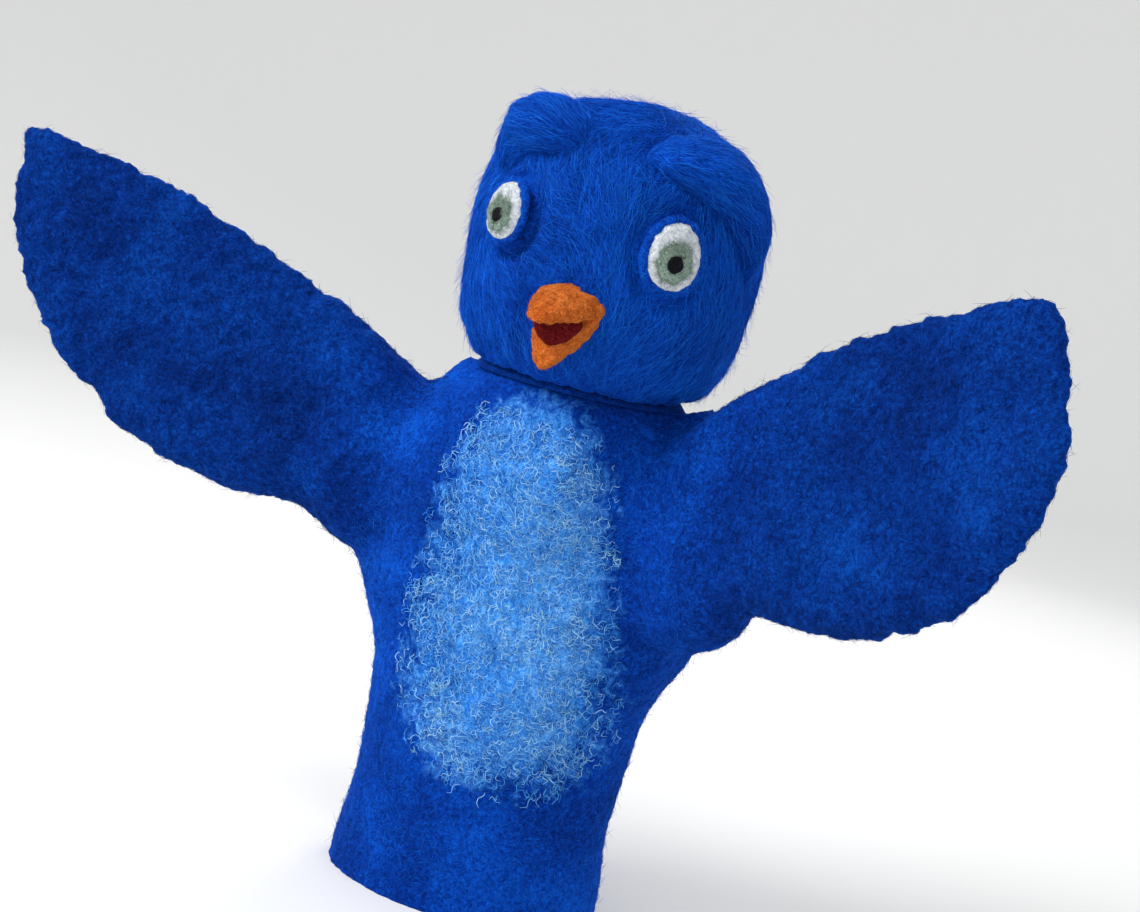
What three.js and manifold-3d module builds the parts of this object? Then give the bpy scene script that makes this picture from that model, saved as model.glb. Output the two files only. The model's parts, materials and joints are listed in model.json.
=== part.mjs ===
// A felted glove puppet of a bird, spread over a hand: a hollow felt bag that stands on its cuff, a stuffed
// head that nods, tilts and turns on the index finger, and two wings that swing and flap at the shoulders.
// Millimetres, +Z up, the bird faces -Y and its own left is +X. The origin is the centre of the cuff opening.
import * as THREE from "three";
import { mergeVertices } from "three/addons/utils/BufferGeometryUtils.js";
import Module from "manifold-3d";

const wasm = await Module();
wasm.setup();

// Driving dimensions.
const ROUND = 24; // facets round every turned form
const RINGS = ROUND / 2; // facets from pole to pole
const FINE = 16; // facets round the small forms on the face
const ARC_STEPS = 4; // facets along a short arc
const GAP = 0.4; // clearance between two pieces that touch
const FELT = 4; // thickness of the body felt

// The bag: half width and depth share at each height, from the cuff up to the neck dome.
const BAG = [
  [0, 51, 0.72], [16, 50.5, 0.72], [34, 48.5, 0.73], [56, 47, 0.74], [84, 47.5, 0.76],
  [112, 49, 0.79], [140, 49, 0.83], [162, 46.5, 0.93],
];

// The neck: every neck surface is a sphere about one pivot, so the head can roll on it in any direction.
const NECK_PIVOT = new THREE.Vector3(0, 0, 158);
const DOME_R = 48;
const DOME_START = 65; // degrees from straight up, where the dome leaves the bag
const DOME_HOLE = 28; // degrees from straight up, the hole that the finger goes through
const SLEEVE_R = [48.9, 50.6];
const SLEEVE_SPAN = [20, 50];
const SEAT_R = 51.8; // hollow under the head
const HEAD_SWEEP = 63; // degrees from straight up that the tilting head may reach

// The shoulders: a ball on each side of the bag, with a gusset and then the wing root rolling on it.
const SHOULDER = new THREE.Vector3(25, 0, 150);
const SHOULDER_R = 39;
const GUSSET_R = [39.8, 41.4];
const GUSSET_SPAN = [15, 22];
const ROOT_R = 42.4;
const ARM_HOLE_R = 13;

// The head: a ball with a full, low chin.
const HEAD_CENTRE = new THREE.Vector3(2, -6, 241);
const HEAD_R = 54;
const HEAD_UP = 54;
const HEAD_DOWN = 58;
const CROWN_POWER = 2.3;
const CHIN_POWER = 3;
const HEAD_FELT = 6;
const HEAD_STEPS = 16;
const TUBE_R = [10, 12];
const TUBE_TOP = 262;
const TUBE_FELT = 2;

// The wings: outline in the wing's own plane, out along the wing and up, from the shoulder ball's centre.
const WING_OUTLINE = [
  [209, 2], [196, 10], [170, 16], [131, 19], [92, 18], [58, 14], [22, 9], [2, 0], [2, -14], [30, -29],
  [47, -46], [70, -59], [98, -66], [124, -69], [146, -67], [166, -58], [181, -47], [194, -34], [205, -15],
];
const WING_MIDDLE = [112, -27];
const WING_HALF = [14.5, 4.8]; // half thickness at the root and from the middle outwards
const WING_THIN = 150; // distance along the wing where it has reached its thin end
const WING_RINGS = 10;
const WINGS = [
  { name: "left", side: 1, swing: 37, lift: 32, long: 0.95, deep: 1.14 },
  { name: "right", side: -1, swing: 11, lift: 23, long: 1, deep: 1 },
];
const POCKET = { radius: 12, flat: 0.6, start: 30, end: 96, drop: -14 };

// The face, placed by degrees round the head from straight ahead and up from its middle.
const EYE_TURNS = { left: 35, right: -31 };
const EYE_LIFT = 1;
const EYE_WHITE = [10.6, 12.8, 4.2]; // half width, half height, how far it stands out
const EYE_RIM = 2;
const IRIS = [5.4, 5.8, 1.6];
const PUPIL = [2.4, 2.4, 1];
const IRIS_SINK = 0.5;
const PUPIL_SINK = 0.9;
const BEAK_LIFT = -11;
const BEAK_HALVES = [
  { name: "upper_beak", way: 1, pitch: -4, long: 22, high: 8, point: 0.5 },
  { name: "lower_beak", way: -1, pitch: 52, long: 26, high: 6, point: 0.66 },
];
const BEAK_WIDE = 13.5;
const BEAK_SINK = 5; // how far the root of the beak lies inside the head
const BEAK_TAPER = 1.4; // how late along its length each half narrows
const LINING = [11, 5, 15];
const BROW = { wide: 13, thick: 7.5, sink: 0.25 };
const BROW_PATH = [[12, 26], [30, 34], [50, 34], [69, 27], [82, 14], [86, 0]];

// The pale patch on the breast, as an upright oval seen from the front.
const PATCH = { x: 3, half: 32, low: 30, high: 174, thick: 2.4 };

const DEGREE = Math.PI / 180;

const FELT_BLUE = new THREE.MeshStandardMaterial({ color: 0x0b49ad, roughness: 0.95, metalness: 0 });
const FELT_DEEP = new THREE.MeshStandardMaterial({ color: 0x083a93, roughness: 0.95, metalness: 0 });
const FELT_PALE = new THREE.MeshStandardMaterial({ color: 0x8fc3ea, roughness: 0.95, metalness: 0 });
const FELT_WHITE = new THREE.MeshStandardMaterial({ color: 0xdfe4ea, roughness: 0.9, metalness: 0 });
const FELT_GREY = new THREE.MeshStandardMaterial({ color: 0x6c8f8b, roughness: 0.9, metalness: 0 });
const FELT_BLACK = new THREE.MeshStandardMaterial({ color: 0x0c0d10, roughness: 0.8, metalness: 0 });
const FELT_ORANGE = new THREE.MeshStandardMaterial({ color: 0xc8601c, roughness: 0.9, metalness: 0 });
const FELT_RED = new THREE.MeshStandardMaterial({ color: 0x66090f, roughness: 0.9, metalness: 0 });
const STUFFING = new THREE.MeshStandardMaterial({ color: 0xe6dfcf, roughness: 1, metalness: 0 });

// A closed three.js geometry as a solid, with its shared points merged and its faces turned outwards.
function solidOf(geometry) {
  geometry.deleteAttribute("normal");
  geometry.deleteAttribute("uv");
  const merged = mergeVertices(geometry, 1e-4);
  const places = merged.attributes.position;
  const corners = [0, 1, 2].map(() => new THREE.Vector3());
  const triangles = [];
  let volume = 0;
  for (let i = 0; i < merged.index.count; i += 3) {
    const triangle = [0, 1, 2].map((k) => merged.index.getX(i + k));
    if (new Set(triangle).size < 3) continue;
    corners.forEach((corner, k) => corner.fromBufferAttribute(places, triangle[k]));
    volume += corners[0].dot(corners[1].clone().cross(corners[2]));
    triangles.push(triangle);
  }
  if (volume < 0) triangles.forEach((triangle) => triangle.reverse());
  const triVerts = Uint32Array.from(triangles.flat());
  return new wasm.Manifold(new wasm.Mesh({ numProp: 3, vertProperties: places.array, triVerts }));
}

function geometryOf(solid) {
  const { vertProperties, triVerts } = solid.getMesh();
  const geometry = new THREE.BufferGeometry();
  geometry.setAttribute("position", new THREE.BufferAttribute(vertProperties, 3));
  geometry.setIndex(new THREE.BufferAttribute(triVerts, 1));
  return geometry;
}

function piece(name, solid, material) {
  const mesh = new THREE.Mesh(geometryOf(solid), material);
  mesh.name = name;
  return mesh;
}

// A form turned about the upright axis from [radius, height] pairs.
function turned(profile) {
  const points = profile.map(([radius, height]) => new THREE.Vector2(radius, height));
  return new THREE.LatheGeometry(points, ROUND).rotateX(Math.PI / 2);
}

function ball(radius, centre) {
  return solidOf(new THREE.SphereGeometry(radius, ROUND, RINGS)
    .rotateX(Math.PI / 2).translate(centre.x, centre.y, centre.z));
}

// Points of an arc about the neck pivot, from one angle off straight up to another.
function neckArc(radius, from, to, steps) {
  const points = [];
  for (let i = 0; i <= steps; i += 1) {
    const angle = (from + ((to - from) * i) / steps) * DEGREE;
    points.push([radius * Math.sin(angle), NECK_PIVOT.z + radius * Math.cos(angle)]);
  }
  return points;
}

// A wedge-shaped ring or cap about the neck pivot, between two radii and two angles off straight up.
function neckRing([inner, outer], [from, to]) {
  const profile = [...neckArc(outer, to, from, ARC_STEPS), ...neckArc(inner, from, to, ARC_STEPS)];
  return solidOf(turned([...profile, profile[0]]));
}

// The bag's outer form, grown evenly by a distance: an oval trunk, the neck dome and the two shoulder balls.
function bagForm(grow, floor) {
  const trunk = BAG.map(([height, half]) => [half + grow, height === 0 ? floor : height]);
  const dome = neckArc(DOME_R + grow, DOME_START, 0, 2 * ARC_STEPS);
  dome[dome.length - 1][0] = 0;
  const geometry = turned([[0, floor], ...trunk, ...dome]);
  const places = geometry.attributes.position;
  for (let i = 0; i < places.count; i += 1) {
    const across = Math.hypot(places.getX(i), places.getY(i));
    if (across === 0) continue;
    const flat = depthShare(places.getZ(i));
    const shrunk = (across - grow) * flat + grow;
    places.setY(i, (places.getY(i) * shrunk) / across);
  }
  const side = SHOULDER.clone().multiply(new THREE.Vector3(-1, 1, 1));
  return solidOf(geometry).add(ball(SHOULDER_R + grow, SHOULDER)).add(ball(SHOULDER_R + grow, side));
}

// How deep the bag is from front to back as a share of its width, at a height.
function depthShare(height) {
  const above = BAG.findIndex(([level]) => level > height);
  if (above === 0) return BAG[0][2];
  const [low, , from] = above < 0 ? BAG[BAG.length - 1] : BAG[above - 1];
  const domeFoot = NECK_PIVOT.z + DOME_R * Math.cos(DOME_START * DEGREE);
  const [high, , to] = above < 0 ? [domeFoot, 0, 1] : BAG[above];
  return THREE.MathUtils.mapLinear(Math.min(height, high), low, high, from, to);
}

// Turns something built along +X to lie along a wing at rest.
function wingTurn({ side, swing, lift }) {
  return new THREE.Euler(0, -side * lift * DEGREE, -side * swing * DEGREE, "ZYX");
}

function shoulderOf({ side }) {
  return new THREE.Vector3(side * SHOULDER.x, SHOULDER.y, SHOULDER.z);
}

function bag() {
  let solid = bagForm(0, 0).subtract(bagForm(-FELT, -FELT));
  solid = solid.subtract(neckRing([0.5, DOME_R + FELT], [0, DOME_HOLE]));
  solid = solid.subtract(neckRing([SEAT_R - GAP, 2 * SEAT_R], [0, HEAD_SWEEP]));
  for (const wing of WINGS) {
    const hole = new THREE.CylinderGeometry(ARM_HOLE_R, ARM_HOLE_R, SHOULDER_R, ROUND)
      .rotateZ(Math.PI / 2).translate(wing.side * SHOULDER_R, 0, 0);
    const place = new THREE.Matrix4().makeRotationFromEuler(wingTurn(wing));
    solid = solid.subtract(solidOf(hole.applyMatrix4(place.setPosition(shoulderOf(wing)))));
  }
  return piece("body_bag", solid, FELT_BLUE);
}

function breastPatch() {
  const tall = (PATCH.high - PATCH.low) / 2;
  const oval = new THREE.CylinderGeometry(1, 1, 2 * DOME_R, ROUND);
  oval.scale(PATCH.half, 1, tall).translate(PATCH.x, -DOME_R, PATCH.low + tall);
  const skin = bagForm(GAP + PATCH.thick, 0).subtract(bagForm(GAP, -FELT));
  return piece("breast_patch", skin.intersect(solidOf(oval)), FELT_PALE);
}

// The wing: a lens-shaped pad, hollowed at the root by the shoulder ball and the finger pocket.
function wing({ name, side, long, deep, ...rest }) {
  const corners = WING_OUTLINE.map(([out, up]) => new THREE.Vector3(side * out * long, 0, up * deep));
  const rim = new THREE.CatmullRomCurve3(corners, true, "centripetal");
  const middle = new THREE.Vector3(side * WING_MIDDLE[0] * long, 0, WING_MIDDLE[1] * deep);
  const geometry = new THREE.SphereGeometry(1, 2 * ROUND, WING_RINGS);
  const places = geometry.attributes.position;
  const point = new THREE.Vector3();
  for (let i = 0; i < places.count; i += 1) {
    point.fromBufferAttribute(places, i);
    const reach = Math.min(1, Math.hypot(point.x, point.z));
    const turn = Math.atan2(point.z, point.x) / (2 * Math.PI);
    const edge = rim.getPoint((turn + 1) % 1);
    const spot = middle.clone().lerp(edge, reach);
    const along = THREE.MathUtils.clamp(Math.abs(spot.x) / WING_THIN, 0, 1);
    const half = THREE.MathUtils.lerp(...WING_HALF, THREE.MathUtils.smoothstep(along, 0.2, 1));
    places.setXYZ(i, spot.x, Math.sign(point.y) * half * Math.sqrt(1 - reach ** 4), spot.z);
  }
  const pocketLong = POCKET.end - POCKET.start - POCKET.radius;
  const pocket = new THREE.CapsuleGeometry(POCKET.radius, pocketLong, ARC_STEPS, FINE)
    .rotateZ(Math.PI / 2).scale(1, POCKET.flat, 1)
    .translate(side * (POCKET.start + pocketLong / 2), 0, POCKET.drop);
  const solid = solidOf(geometry).subtract(ball(ROOT_R, new THREE.Vector3())).subtract(solidOf(pocket));
  const mesh = piece(`${name}_wing`, solid, FELT_DEEP);
  return placedAtShoulder(mesh, { side, ...rest });
}

function gusset({ name, side, ...rest }) {
  const [inner, outer] = GUSSET_R;
  const [from, to] = GUSSET_SPAN.map((angle) => angle * DEGREE);
  const profile = [[outer, to], [outer, from], [inner, from], [inner, to], [outer, to]]
    .map(([radius, angle]) => [radius * Math.sin(angle), radius * Math.cos(angle)]);
  const mesh = piece(`${name}_shoulder_gusset`,
    solidOf(turned(profile).rotateY((side * Math.PI) / 2)), FELT_DEEP);
  return placedAtShoulder(mesh, { side, ...rest });
}

function placedAtShoulder(mesh, wingPlace) {
  const place = new THREE.Group();
  place.position.copy(shoulderOf(wingPlace));
  place.rotation.copy(wingTurn(wingPlace));
  return place.add(mesh);
}

// The head's outer form, grown evenly by a distance.
function headForm(grow) {
  const profile = [];
  for (let i = 0; i <= HEAD_STEPS; i += 1) {
    const angle = Math.PI * (i / HEAD_STEPS - 0.5);
    const power = angle < 0 ? CHIN_POWER : CROWN_POWER;
    const tall = (angle < 0 ? HEAD_DOWN : HEAD_UP) + grow;
    const across = Math.cos(angle) ** (2 / power) * (HEAD_R + grow);
    const up = Math.sign(angle) * Math.abs(Math.sin(angle)) ** (2 / power) * tall;
    profile.push([i === 0 || i === HEAD_STEPS ? 0 : across, up]);
  }
  return solidOf(turned(profile).translate(HEAD_CENTRE.x, HEAD_CENTRE.y, HEAD_CENTRE.z));
}

function headSkin() {
  const solid = headForm(0).subtract(headForm(-HEAD_FELT)).subtract(ball(SEAT_R, NECK_PIVOT));
  return piece("head_skin", solid, FELT_BLUE);
}

function headCore() {
  const bore = fingerRod(TUBE_R[1] + GAP, TUBE_TOP + GAP);
  const solid = headForm(-HEAD_FELT - GAP).subtract(ball(SEAT_R, NECK_PIVOT)).subtract(bore);
  return piece("head_core", solid, STUFFING);
}

// An upright rod with a domed top, standing on the neck pivot.
function fingerRod(radius, top) {
  const profile = [[0, NECK_PIVOT.z], [radius, NECK_PIVOT.z]];
  for (let i = 0; i <= ARC_STEPS; i += 1) {
    const angle = (i / ARC_STEPS) * (Math.PI / 2);
    profile.push([i === ARC_STEPS ? 0 : radius * Math.cos(angle), top - radius + radius * Math.sin(angle)]);
  }
  return solidOf(turned(profile));
}

function fingerTube() {
  const [inner, outer] = TUBE_R;
  const solid = fingerRod(outer, TUBE_TOP).subtract(fingerRod(inner, TUBE_TOP - TUBE_FELT))
    .subtract(ball(SEAT_R, NECK_PIVOT));
  return piece("finger_tube", solid, STUFFING);
}

function neckSleeve() {
  return piece("neck_sleeve", neckRing(SLEEVE_R, SLEEVE_SPAN), FELT_DEEP);
}

// A place on the head's surface whose -Y points straight out, by turn and lift in degrees.
function onHead(turn, lift, out = 0) {
  const power = lift < 0 ? CHIN_POWER : CROWN_POWER;
  const across = HEAD_R * Math.cos(lift * DEGREE) ** (2 / power);
  const tall = lift < 0 ? HEAD_DOWN : HEAD_UP;
  const up = Math.sign(lift) * tall * Math.abs(Math.sin(lift * DEGREE)) ** (2 / power);
  const outward = new THREE.Euler(-lift * DEGREE, 0, turn * DEGREE, "ZYX");
  const spot = new THREE.Vector3(across * Math.sin(turn * DEGREE), -across * Math.cos(turn * DEGREE), up);
  const lean = new THREE.Vector3(0, -out, 0).applyEuler(outward);
  return new THREE.Matrix4().makeRotationFromEuler(outward).setPosition(spot.add(lean).add(HEAD_CENTRE));
}

function oval([across, tall, out], place, grow = 0) {
  const geometry = new THREE.SphereGeometry(1, FINE, FINE / 2);
  return solidOf(geometry.scale(across + grow, out + grow, tall + grow).applyMatrix4(place));
}

function eye(name) {
  const turn = EYE_TURNS[name];
  const place = onHead(turn, EYE_LIFT);
  const head = headForm(GAP);
  const front = EYE_WHITE[2];
  const irisPlace = onHead(turn, EYE_LIFT, front - IRIS_SINK);
  const pupilPlace = onHead(turn, EYE_LIFT, front + IRIS[2] - PUPIL_SINK);
  const white = oval(EYE_WHITE, place).subtract(head);
  const iris = oval(IRIS, irisPlace).subtract(oval(EYE_WHITE, place, GAP));
  const pupil = oval(PUPIL, pupilPlace).subtract(oval(IRIS, irisPlace, GAP));
  const ring = new THREE.TorusGeometry(1, EYE_RIM / EYE_WHITE[0], FINE / 2, ROUND).rotateX(Math.PI / 2);
  ring.scale(EYE_WHITE[0] + EYE_RIM / 2, EYE_WHITE[0], EYE_WHITE[1] + EYE_RIM / 2).applyMatrix4(place);
  const rim = solidOf(ring).subtract(head).subtract(oval(EYE_WHITE, place, GAP));
  return [
    piece(`${name}_eye_rim`, rim, FELT_BLUE),
    piece(`${name}_eye_white`, white, FELT_WHITE),
    piece(`${name}_iris`, iris, FELT_GREY),
    piece(`${name}_pupil`, pupil, FELT_BLACK),
  ];
}

// The open beak: two flattened cones hinged at the corners of the mouth, and the red lining between them.
function beak() {
  const seat = onHead(0, BEAK_LIFT, -BEAK_SINK);
  const head = headForm(GAP);
  const pieces = [];
  let lining = oval(LINING, seat).subtract(head);
  for (const { name, way, pitch, long, high, point } of BEAK_HALVES) {
    const cone = new THREE.SphereGeometry(1, ROUND, RINGS);
    const places = cone.attributes.position;
    for (let i = 0; i < places.count; i += 1) {
      const ahead = Math.max(0, -places.getY(i));
      places.setX(i, places.getX(i) * (1 - point * ahead ** BEAK_TAPER));
    }
    cone.scale(BEAK_WIDE, long, high);
    const half = new THREE.BoxGeometry(4 * BEAK_WIDE, 3 * long, 2 * high);
    half.translate(0, 0, way * (high + GAP));
    const place = seat.clone().multiply(new THREE.Matrix4().makeRotationX(pitch * DEGREE));
    const solid = solidOf(cone.applyMatrix4(place)).intersect(solidOf(half.applyMatrix4(place)));
    lining = lining.subtract(solidOf(geometryOf(solid)));
    pieces.push(piece(name, solid.subtract(head), FELT_ORANGE));
  }
  return [...pieces, piece("mouth_lining", lining, FELT_RED)];
}

// A brow: a flattened roll with rounded ends, bent along its path over the head.
function brow(name, side) {
  const spots = BROW_PATH.map(([turn, lift]) =>
    new THREE.Vector3().setFromMatrixPosition(onHead(side * turn, lift, BROW.thick * BROW.sink)));
  const path = new THREE.CatmullRomCurve3(spots);
  const roll = new THREE.SphereGeometry(1, FINE, FINE);
  const places = roll.attributes.position;
  const point = new THREE.Vector3();
  for (let i = 0; i < places.count; i += 1) {
    point.fromBufferAttribute(places, i);
    const along = Math.acos(THREE.MathUtils.clamp(point.y, -1, 1)) / Math.PI;
    const spot = path.getPointAt(along);
    const out = spot.clone().sub(HEAD_CENTRE).normalize();
    const across = path.getTangentAt(along).cross(out).normalize();
    spot.addScaledVector(across, point.x * BROW.wide).addScaledVector(out, point.z * BROW.thick);
    places.setXYZ(i, spot.x, spot.y, spot.z);
  }
  return piece(`${name}_brow`, solidOf(roll).subtract(headForm(GAP)), FELT_BLUE);
}

const puppet = new THREE.Group();
puppet.add(bag(), breastPatch(), neckSleeve(), fingerTube(), headSkin(), headCore());
puppet.add(...eye("left"), ...eye("right"), ...beak());
puppet.add(brow("left", 1), brow("right", -1));
for (const place of WINGS) puppet.add(gusset(place), wing(place));

export default puppet;
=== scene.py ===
import json
import math
import random

import bmesh
import bpy
from mathutils import Matrix, Vector, noise
from mathutils.bvhtree import BVHTree


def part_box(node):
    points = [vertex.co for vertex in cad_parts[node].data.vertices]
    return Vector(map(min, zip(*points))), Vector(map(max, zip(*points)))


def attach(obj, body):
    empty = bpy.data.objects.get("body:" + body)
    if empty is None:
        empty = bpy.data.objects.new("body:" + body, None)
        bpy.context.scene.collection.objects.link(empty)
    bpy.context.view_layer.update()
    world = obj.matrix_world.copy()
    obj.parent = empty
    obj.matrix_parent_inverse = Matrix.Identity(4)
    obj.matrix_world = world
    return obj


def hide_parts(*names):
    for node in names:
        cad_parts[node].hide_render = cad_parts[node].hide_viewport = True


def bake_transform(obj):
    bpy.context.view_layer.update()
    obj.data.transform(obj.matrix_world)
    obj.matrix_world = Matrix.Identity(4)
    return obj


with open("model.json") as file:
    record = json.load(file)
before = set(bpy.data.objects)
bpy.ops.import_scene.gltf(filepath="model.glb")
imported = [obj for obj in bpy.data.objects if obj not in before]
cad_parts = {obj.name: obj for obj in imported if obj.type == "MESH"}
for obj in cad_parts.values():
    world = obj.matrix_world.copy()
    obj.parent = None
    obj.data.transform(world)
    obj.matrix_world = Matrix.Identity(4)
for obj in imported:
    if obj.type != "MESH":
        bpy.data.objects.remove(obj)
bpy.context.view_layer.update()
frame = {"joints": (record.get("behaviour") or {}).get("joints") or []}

# CAMERA. It looks the bird in the face, from a little to the bird's left and above, and leans to one
# side, so that the puppet tips over as it does on a raised arm.
TURN, RISE, LEAN = (math.radians(angle) for angle in (14, 6, 13.7))
DISTANCE = 0.7
back = Vector((math.sin(TURN) * math.cos(RISE), -math.cos(TURN) * math.cos(RISE), math.sin(RISE)))
level = Vector((math.cos(TURN), math.sin(TURN), 0))
upright = back.cross(level)
across = level * math.cos(LEAN) + upright * math.sin(LEAN)
upward = upright * math.cos(LEAN) - level * math.sin(LEAN)
stand = level * 0.00231 + upright * 0.16423 + back * DISTANCE
camera = bpy.data.objects.new("camera", bpy.data.cameras.new("camera"))
camera.data.lens = 59.75
camera.matrix_world = Matrix.Translation(stand) @ Matrix((across, upward, back)).transposed().to_4x4()
bpy.context.scene.collection.objects.link(camera)
bpy.context.scene.camera = camera
bpy.context.scene.view_settings.view_transform = "Standard"


# STUDIO. A pale floor that curves up into a wall all round, one large soft light from the upper left
# and weaker ones from the right and from behind.
def finished(name, form):
    """A mesh object made from a bmesh, smoothly shaded."""
    mesh = bpy.data.meshes.new(name)
    form.to_mesh(mesh)
    form.free()
    mesh.shade_smooth()
    piece = bpy.data.objects.new(name, mesh)
    bpy.context.scene.collection.objects.link(piece)
    return piece


FLOOR_REACH = 1.6
WALL_RISE = 1.5
form = bmesh.new()
profile = [form.verts.new((0, 0, 0)), form.verts.new((FLOOR_REACH, 0, 0))]
for step in range(1, 13):
    bend = math.radians(90 * step / 12)
    profile.append(form.verts.new((FLOOR_REACH + math.sin(bend), 0, WALL_RISE * (1 - math.cos(bend)))))
edges = [form.edges.new(pair) for pair in zip(profile, profile[1:])]
bmesh.ops.spin(form, geom=profile + edges, cent=(0, 0, 0), axis=(0, 0, 1), angle=math.tau, steps=64,
               use_merge=True)
bmesh.ops.remove_doubles(form, verts=form.verts, dist=1e-5)
bmesh.ops.recalc_face_normals(form, faces=form.faces)
studio = finished("studio_floor", form)
plaster = bpy.data.materials.new("pale_plaster")
plaster.use_nodes = True
shader = plaster.node_tree.nodes["Principled BSDF"]
shader.inputs["Base Color"].default_value = (0.87, 0.87, 0.86, 1)
shader.inputs["Roughness"].default_value = 1
shader.inputs["Specular IOR Level"].default_value = 0
studio.data.materials.append(plaster)

for name, place, size, power in (
    ("key", (-0.82, -0.62, 0.98), 0.6, 15),
    ("fill", (1.1, -0.7, 0.5), 1.0, 3),
    ("rim", (0.2, 1.2, 1.0), 0.8, 5),
):
    lamp = bpy.data.lights.new(name, "AREA")
    lamp.shape = "DISK"
    lamp.size = size
    lamp.energy = power
    lamp_object = bpy.data.objects.new(name, lamp)
    aim = Vector((0, 0, 0.17)) - Vector(place)
    lamp_object.matrix_world = Matrix.Translation(place) @ aim.to_track_quat("-Z", "Y").to_matrix().to_4x4()
    bpy.context.scene.collection.objects.link(lamp_object)
world = bpy.data.worlds.new("soft_room")
bpy.context.scene.world = world
world.use_nodes = True
world.node_tree.nodes["Background"].inputs["Color"].default_value = (0.97, 0.98, 1, 1)
world.node_tree.nodes["Background"].inputs["Strength"].default_value = 0.68


# BODY FELT. One seamless skin of wet-felted wool: a bag for the hand, open at the cuff and at the neck,
# that runs out into two flat wings. It is shaped whole, hollowed, and then cut where it bends.
def applied(piece):
    """Turns what a piece's modifiers make into its own mesh."""
    mesh = bpy.data.meshes.new_from_object(piece.evaluated_get(bpy.context.evaluated_depsgraph_get()))
    piece.modifiers.clear()
    piece.data = mesh
    mesh.shade_smooth()
    return piece


def refelted(piece, grain):
    """Fuses overlapping closed forms into one skin with an even mesh."""
    remesh = piece.modifiers.new("refelt", "REMESH")
    remesh.mode = "VOXEL"
    remesh.voxel_size = grain
    return applied(piece)


def cut(piece, operation, tool):
    """Cuts a piece with a tool, or keeps what the two share."""
    knife = piece.modifiers.new("cut", "BOOLEAN")
    knife.operation = operation
    knife.solver = "MANIFOLD"
    knife.object = tool
    return applied(piece)


def eased(value, low, high):
    part = min(1, max(0, (value - low) / (high - low)))
    return part * part * (3 - 2 * part)


def ellipsoid(form, radii, place, segments=48):
    made = bmesh.ops.create_uvsphere(form, u_segments=segments, v_segments=segments // 2, radius=1)
    bmesh.ops.transform(form, matrix=place @ Matrix.Diagonal((*radii, 1)), verts=made["verts"])


pivots = {joint["name"]: Vector(joint["pos_m"]) for joint in frame["joints"]}
NECK = pivots["head_nod"]
SHOULDER = {1: pivots["left_wing_flap"], -1: pivots["right_wing_flap"]}
SIDES = {1: "left", -1: "right"}
DOME = 0.0477
SEAT = 0.0518
SHOULDER_BALL = 0.039
FELT = 0.004
# height, half width and half depth of the bag, from below the cuff to inside the neck
BAG_RINGS = (
    (-0.008, 0.0512, 0.0370), (0, 0.0508, 0.0367), (0.016, 0.0500, 0.0363), (0.034, 0.0485, 0.0354),
    (0.056, 0.0488, 0.0350), (0.072, 0.0505, 0.0360), (0.084, 0.0535, 0.0370), (0.096, 0.0585, 0.0380),
    (0.106, 0.0640, 0.0388), (0.128, 0.0640, 0.0400), (0.148, 0.0560, 0.0415), (0.163, 0.0470, 0.0430),
    (0.176, 0.0430, 0.0425),
)
# the felt pushed up beside the head on each side: its middle and its radii
NECK_RIDGE = {
    1: ((0.0430, 0, 0.175), (0.0150, 0.019, 0.021)),
    -1: ((-0.038, 0, 0.173), (0.0130, 0.019, 0.020)),
}
# each wing in its own plane: how long, how high its upper edge bows, how deep it hangs, how far out it is
# deepest and how square its lower edge is (less is squarer)
WING_SHAPE = {1: (0.206, 0.017, 0.067, 0.135, 0.40), -1: (0.211, 0.019, 0.068, 0.115, 0.58)}
WING_MIDDLE = Vector((0.112, -0.027))
WING_HALF = (0.0150, 0.0046)
WING_BLUNT = 9  # how full the wing stays towards its edge
WING_THIN = 0.150
WING_REST = {1: (37, 32, 0.95, 1.14), -1: (11, 23, 1, 1)}  # swing, lift, length and depth shares


def wing_place(side):
    """Takes a place on a wing, as out, through and up, to where the wing is held at rest."""
    swing, lift, long, deep = WING_REST[side]
    swung = Matrix.Translation(SHOULDER[side]) @ Matrix.Rotation(math.radians(-side * swing), 4, "Z")
    lifted = swung @ Matrix.Rotation(math.radians(-side * lift), 4, "Y")
    return lifted @ Matrix.Diagonal((side * long, 1, deep, 1))


def wing_edge(side, part):
    """A place on the wing's outline: from the tip in along the bowed upper edge, then out along the lower."""
    length, bow, deep, deepest, square = WING_SHAPE[side]
    out = length * (1 + math.cos(part * math.tau)) / 2
    share = min(1, max(0, out / length))
    if part % 1 < 0.5:
        return Vector((out, bow * math.sqrt(max(0, math.sin(math.pi * share)))))
    bend = math.log(0.5) / math.log(deepest / length)
    return Vector((out, -deep * max(0, math.sin(math.pi * share ** bend)) ** square))


def wing_form(form, side, scallop=0.0022):
    place = wing_place(side)
    made = bmesh.ops.create_uvsphere(form, u_segments=260, v_segments=20, radius=1)
    for vert in made["verts"]:
        reach = min(1, math.hypot(vert.co.x, vert.co.y))
        edge = wing_edge(side, math.atan2(vert.co.y, vert.co.x) / math.tau)
        ragged = Vector((edge.x, edge.y, 3 * side))
        bite = 0.28 - abs(noise.noise(ragged * 62)) - 0.45 * abs(noise.noise(ragged * 150))
        outward = (edge - WING_MIDDLE).normalized() * bite * 2.4 * scallop * eased(edge.x, 0.05, 0.10)
        spot = WING_MIDDLE.lerp(edge + outward, reach)
        thin = eased(abs(spot.x) / WING_THIN, 0.2, 1)
        half = (WING_HALF[0] * (1 - thin) + WING_HALF[1] * thin) * math.sqrt(1 - reach ** WING_BLUNT)
        vert.co = place @ Vector((spot.x, math.copysign(half, vert.co.z), spot.y))
    if side < 0:
        faces = list({face for vert in made["verts"] for face in vert.link_faces})
        bmesh.ops.reverse_faces(form, faces=faces)


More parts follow.
